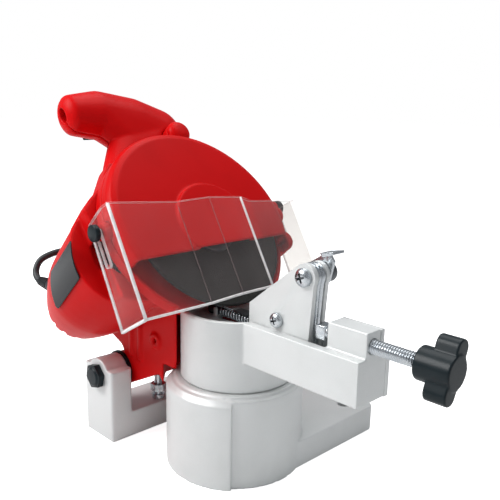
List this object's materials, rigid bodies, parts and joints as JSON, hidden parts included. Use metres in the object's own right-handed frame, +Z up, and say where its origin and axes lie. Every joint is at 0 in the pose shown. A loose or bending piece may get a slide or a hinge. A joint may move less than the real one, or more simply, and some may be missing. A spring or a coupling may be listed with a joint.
{
  "type": "bench chain sharpener",
  "caption": "Electric bench grinder for sharpening saw chain: swivelling chain vise on a cast base, tilting grinding head with guard, clear visor and mains lead.",
  "frame": {"origin": "on the base's underside, under the swivel table's axis", "axes": "+Z up; +X along the vise arm; -Y towards the operator, +Y behind"},
  "size_m": [0.3661, 0.3352, 0.2352],
  "materials": {
    "red": "satin",
    "cast": "satin silver-white paint on castings",
    "black_plastic": "satin",
    "zinc": "zinc plated",
    "dark_steel": "dark",
    "clear": "clear moulded plastic",
    "abrasive": "rough bonded grit",
    "cord_rubber": "matt"
  },
  "bodies": {
    "base": {"base_casting": "cast", "hinge_bolt": "zinc", "hinge_caps": "black_plastic", "pivot_washer": "zinc", "cord_coil": "cord_rubber", "mains_plug": "black_plastic"},
    "table": {"swivel_table": "cast", "pivot_bolt": "zinc", "vise_front_plate": "cast", "chain_guide_plate": "zinc", "vise_back_plate": "cast", "cross_screw": "zinc", "cross_nut": "dark_steel", "pan_screw": "zinc", "stop_spring": "zinc", "clamp_lever": "cast"},
    "lock_knob": {"lock_knob": "black_plastic"},
    "jaw": {"jaw_plate": "zinc"},
    "pawl": {"chain_stop_pawl": "zinc"},
    "chain_stop": {"stop_slider": "dark_steel"},
    "stop_screw": {"stop_screw": "dark_steel"},
    "wedge": {"clamp_wedge": "zinc"},
    "clamp_screw": {"clamp_screw": "zinc", "clamp_knob": "black_plastic"},
    "head": {"gear_case": "red", "motor_shell": "red", "grip_cover": "red", "guard_cover": "red", "housing_screws": "zinc", "blank_plate": "black_plastic", "rocker_frame": "black_plastic", "hinge_washers": "black_plastic", "bearings": "zinc", "stator": "dark_steel", "brush_holders": "black_plastic", "visor_screws": "black_plastic", "stop_nut": "zinc", "strain_relief": "black_plastic", "mains_cord": "cord_rubber"},
    "depth_stop": {"stop_bolt": "zinc"},
    "rocker": {"rocker_key": "black_plastic"},
    "visor": {"visor": "clear"},
    "spindle": {"spindle_gear": "dark_steel", "grinding_disc": "abrasive", "inner_flange": "zinc", "outer_flange": "zinc", "spindle_nut": "zinc"},
    "rotor": {"rotor": "dark_steel"}
  },
  "joints": [
    {"name": "table_swivel", "type": "hinge", "parent": "base", "child": "table", "pos_m": [0, 0, 0.0592], "axis": [0, 0, 1], "range_deg": [-35, 35]},
    {"name": "lock_knob_turn", "type": "hinge", "parent": "table", "child": "lock_knob", "pos_m": [0, 0, 0.03], "axis": [0, 0, 1], "range_deg": [-180, 180]},
    {"name": "jaw_slide", "type": "slide", "parent": "table", "child": "jaw", "axis": [0, 1, 0], "range_m": [0, 0.0011]},
    {"name": "pawl_tilt", "type": "hinge", "parent": "table", "child": "pawl", "pos_m": [0.0685, 0, 0.1385], "axis": [0, -1, 0], "range_deg": [0, 40]},
    {"name": "stop_slide", "type": "slide", "parent": "table", "child": "chain_stop", "axis": [1, 0, 0], "range_m": [0, 0.006]},
    {"name": "stop_screw_turn", "type": "hinge", "parent": "table", "child": "stop_screw", "pos_m": [0, -0.0088, 0.1006], "axis": [1, 0, 0], "range_deg": [0, 2700]},
    {"name": "wedge_slide", "type": "slide", "parent": "table", "child": "wedge", "axis": [1, 0, 0], "range_m": [0, 0.0025]},
    {"name": "clamp_turn", "type": "hinge", "parent": "wedge", "child": "clamp_screw", "pos_m": [0.1, -0.0105, 0.1097], "axis": [1, 0, 0], "range_deg": [0, 720]},
    {"name": "head_pivot", "type": "hinge", "parent": "base", "child": "head", "pos_m": [-0.0834, 0, 0.0447], "axis": [0, -1, 0], "range_deg": [0, 35]},
    {"name": "depth_stop_turn", "type": "hinge", "parent": "head", "child": "depth_stop", "pos_m": [-0.074, -0.008, 0.03], "axis": [0, 0, 1], "range_deg": [-180, 180]},
    {"name": "rocker_tilt", "type": "hinge", "parent": "head", "child": "rocker", "pos_m": [-0.12461, -0.021, 0.20934], "axis": [-0.6428, 0, 0.766], "range_deg": [0, 12]},
    {"name": "visor_slide", "type": "slide", "parent": "head", "child": "visor", "axis": [-0.506, 0, 0.8625], "range_m": [0, 0.0195]},
    {"name": "spindle_spin", "type": "hinge", "parent": "head", "child": "spindle", "pos_m": [-0.0285, -0.001, 0.1477], "axis": [0.766, 0, 0.6428], "continuous": true},
    {"name": "rotor_spin", "type": "hinge", "parent": "head", "child": "rotor", "pos_m": [-0.07703, -0.05084, 0.1122], "axis": [0.766, 0, 0.6428], "continuous": true}
  ],
  "couplings": [
    {"joint": "rotor_spin", "follows": "spindle_spin", "ratio": -1.5},
    {"joint": "stop_screw_turn", "follows": "stop_slide", "rad_per_m": 7854},
    {"joint": "clamp_turn", "follows": "wedge_slide", "rad_per_m": 5026.5},
    {"joint": "jaw_slide", "follows": "wedge_slide", "ratio": 0.44}
  ]
}
